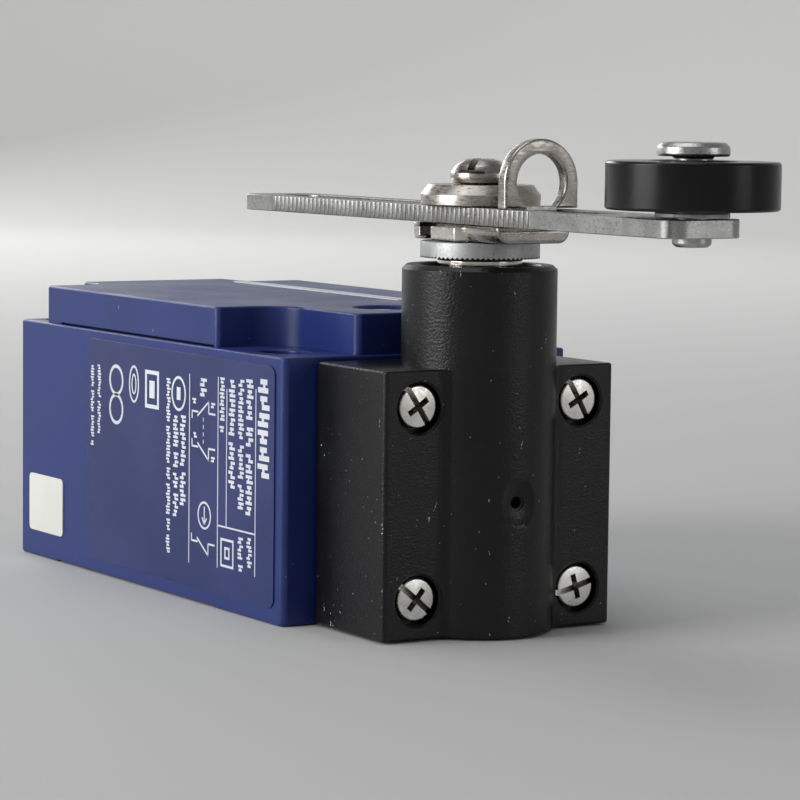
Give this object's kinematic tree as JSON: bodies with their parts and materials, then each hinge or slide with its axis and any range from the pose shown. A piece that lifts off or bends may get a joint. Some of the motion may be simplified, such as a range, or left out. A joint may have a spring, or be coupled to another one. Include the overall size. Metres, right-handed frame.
{
  "type": "roller lever limit switch",
  "caption": "Position switch: blue plastic case, black rotary head, and an adjustable slotted steel arm with a plastic roller that trips an enclosed contact block.",
  "frame": {"origin": "centre of the 30 x 60 mm fixing pattern, on the flat back face of the case", "axes": "+Z out of the cover, away from the mounting surface; +Y towards the cable entry, -Y towards the head and roller; +X across the case"},
  "size_m": [0.0402, 0.1338, 0.0579],
  "materials": {
    "case_plastic": "satin moulded plastic, dark blue",
    "head_plastic": "fine-textured moulded plastic, black",
    "roller_plastic": "turned thermoplastic, black, semi-gloss",
    "seal_rubber": "soft black elastomer",
    "zinc_plated_steel": "grey zinc plate",
    "nickel_plated_steel": "bright nickel plate",
    "arm_steel": "pressed steel, brushed",
    "bearing_bronze": "sintered bronze",
    "contact_brass": "stamped brass",
    "block_plastic": "grey moulded plastic",
    "carrier_plastic": "white moulded plastic",
    "block_cap_plastic": "smoky clear plastic",
    "label_film": "glossy printed film",
    "white_film": "satin white film"
  },
  "bodies": {
    "case": {"body_shell": "case_plastic", "cover": "case_plastic", "cover_gasket": "seal_rubber", "cover_screw": "nickel_plated_steel", "side_label": "label_film", "maker_sticker": "white_film", "cover_stripe": "white_film", "contact_block_base": "block_plastic", "contact_block_cap": "block_cap_plastic", "break_terminal_left": "contact_brass", "break_wire_clamp_left": "zinc_plated_steel", "break_terminal_screw_left": "zinc_plated_steel", "break_terminal_right": "contact_brass", "break_wire_clamp_right": "zinc_plated_steel", "break_terminal_screw_right": "zinc_plated_steel", "make_terminal_left": "contact_brass", "make_wire_clamp_left": "zinc_plated_steel", "make_terminal_screw_left": "zinc_plated_steel", "make_terminal_right": "contact_brass", "make_wire_clamp_right": "zinc_plated_steel", "make_terminal_screw_right": "zinc_plated_steel", "block_screw_left": "zinc_plated_steel", "block_screw_right": "zinc_plated_steel", "head_housing": "head_plastic", "head_gasket": "seal_rubber", "head_screw_lower_left": "nickel_plated_steel", "head_screw_lower_right": "nickel_plated_steel", "head_screw_upper_left": "nickel_plated_steel", "head_screw_upper_right": "nickel_plated_steel", "shaft_bush": "bearing_bronze", "shaft_seal": "seal_rubber"},
    "lever": {"lever_shaft": "nickel_plated_steel", "cam": "arm_steel", "retaining_ring": "arm_steel", "serrated_disc": "zinc_plated_steel", "clamp_jaw": "arm_steel", "eye_bracket": "arm_steel", "clamp_washer": "arm_steel", "clamp_screw": "arm_steel"},
    "arm": {"lever_arm": "arm_steel", "roller_washer": "zinc_plated_steel", "roller_rivet": "arm_steel"},
    "roller": {"roller": "roller_plastic"},
    "tappet": {"tappet": "carrier_plastic", "return_spring": "arm_steel"},
    "carrier": {"bridge_carrier": "carrier_plastic", "break_bridge": "contact_brass", "make_bridge": "contact_brass", "break_contact_spring": "arm_steel", "make_contact_spring": "arm_steel"}
  },
  "joints": [
    {"name": "lever_swing", "type": "hinge", "parent": "case", "child": "lever", "pos_m": [0, -0.0497, 0.045], "axis": [0, 0, 1], "range_deg": [-70, 70], "stiffness_Nm_per_rad": 0.12},
    {"name": "arm_slide", "type": "slide", "parent": "lever", "child": "arm", "axis": [0, -1, 0], "range_m": [-0.0115, 0.038]},
    {"name": "roller_spin", "type": "hinge", "parent": "arm", "child": "roller", "pos_m": [0, -0.0907, 0.0533], "axis": [0, 0, 1], "continuous": true},
    {"name": "tappet_slide", "type": "slide", "parent": "case", "child": "tappet", "axis": [0, 1, 0], "range_m": [0, 0.003], "stiffness_N_per_m": 900, "springref_m": -0.003},
    {"name": "carrier_slide", "type": "slide", "parent": "case", "child": "carrier", "axis": [0, 1, 0], "range_m": [0, 0.003]}
  ],
  "couplings": [
    {"joint": "carrier_slide", "follows": "tappet_slide", "ratio": 1}
  ]
}
